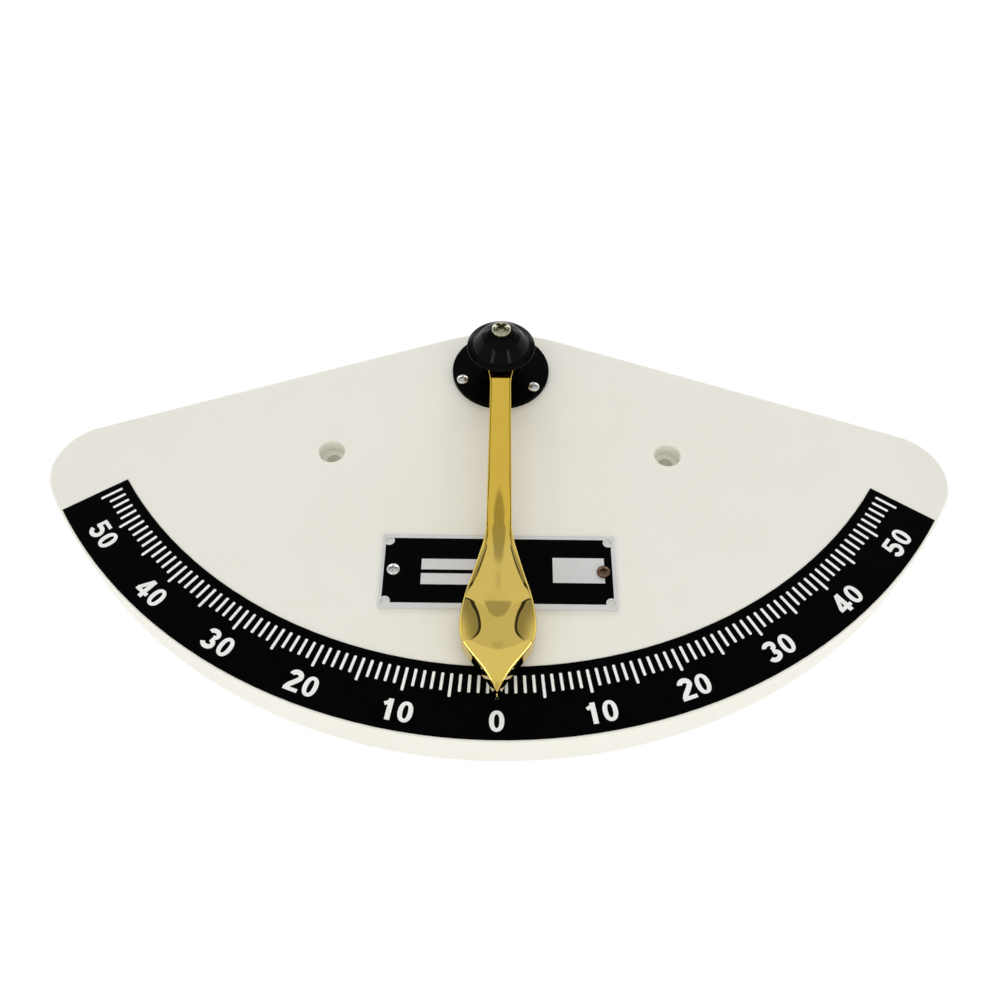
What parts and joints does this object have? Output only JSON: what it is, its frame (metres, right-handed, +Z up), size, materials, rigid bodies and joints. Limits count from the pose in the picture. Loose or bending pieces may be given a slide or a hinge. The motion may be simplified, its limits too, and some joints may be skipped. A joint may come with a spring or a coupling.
{
  "type": "inclinometer",
  "caption": "Wall-mounted pendulum inclinometer: pale moulded sector plate with a printed degree scale and a brass pendulum on a ball bearing under a black conical cap",
  "frame": {"origin": "midway between the two bulkhead screw holes, on the plane of the plate's back", "axes": "+X to the reader's right along the long side, +Y into the bulkhead, +Z up"},
  "size_m": [0.4, 0.051, 0.2096],
  "materials": {
    "moulding": "warm white moulded plastic, satin",
    "black_print": "black printed film, satin",
    "white_print": "white screen print, matt",
    "label_metal": "anodised aluminium sheet with a black printed field",
    "bright_steel": "stainless steel screws",
    "browned_steel": "tarnished brown steel screw",
    "black_hub": "black, semi-gloss",
    "turned_steel": "turned stainless steel",
    "bearing_steel": "ground and polished bearing steel",
    "cage_brass": "pressed brass",
    "polished_brass": "polished and lacquered brass",
    "black_cap": "black, high gloss",
    "yellow_screw": "brass screw"
  },
  "bodies": {
    "housing": {"backplate": "moulding", "scale_band": "black_print", "scale_graduations": "white_print", "name_plate": "label_metal", "name_plate_screw_left": "bright_steel", "name_plate_screw_right": "browned_steel", "hub_flange": "black_hub", "hub_flange_screws": "bright_steel", "spindle": "turned_steel", "spindle_washer": "turned_steel", "spindle_nut": "turned_steel", "bearing_inner_ring": "bearing_steel", "hub_cap": "black_cap", "cap_screw": "yellow_screw"},
    "swinging_pendulum": {"pendulum": "polished_brass", "bearing_outer_ring": "bearing_steel", "bearing_shields": "turned_steel"},
    "ball_set": {"bearing_balls": "bearing_steel", "bearing_cage": "cage_brass"}
  },
  "joints": [
    {"name": "pendulum_swing", "type": "hinge", "parent": "housing", "child": "swinging_pendulum", "pos_m": [0, -0.033, 0.0486], "axis": [0, 1, 0], "continuous": true},
    {"name": "ball_set_turn", "type": "hinge", "parent": "housing", "child": "ball_set", "pos_m": [0, -0.033, 0.0486], "axis": [0, 1, 0], "continuous": true}
  ],
  "couplings": [
    {"joint": "ball_set_turn", "follows": "pendulum_swing", "ratio": 0.6095}
  ]
}
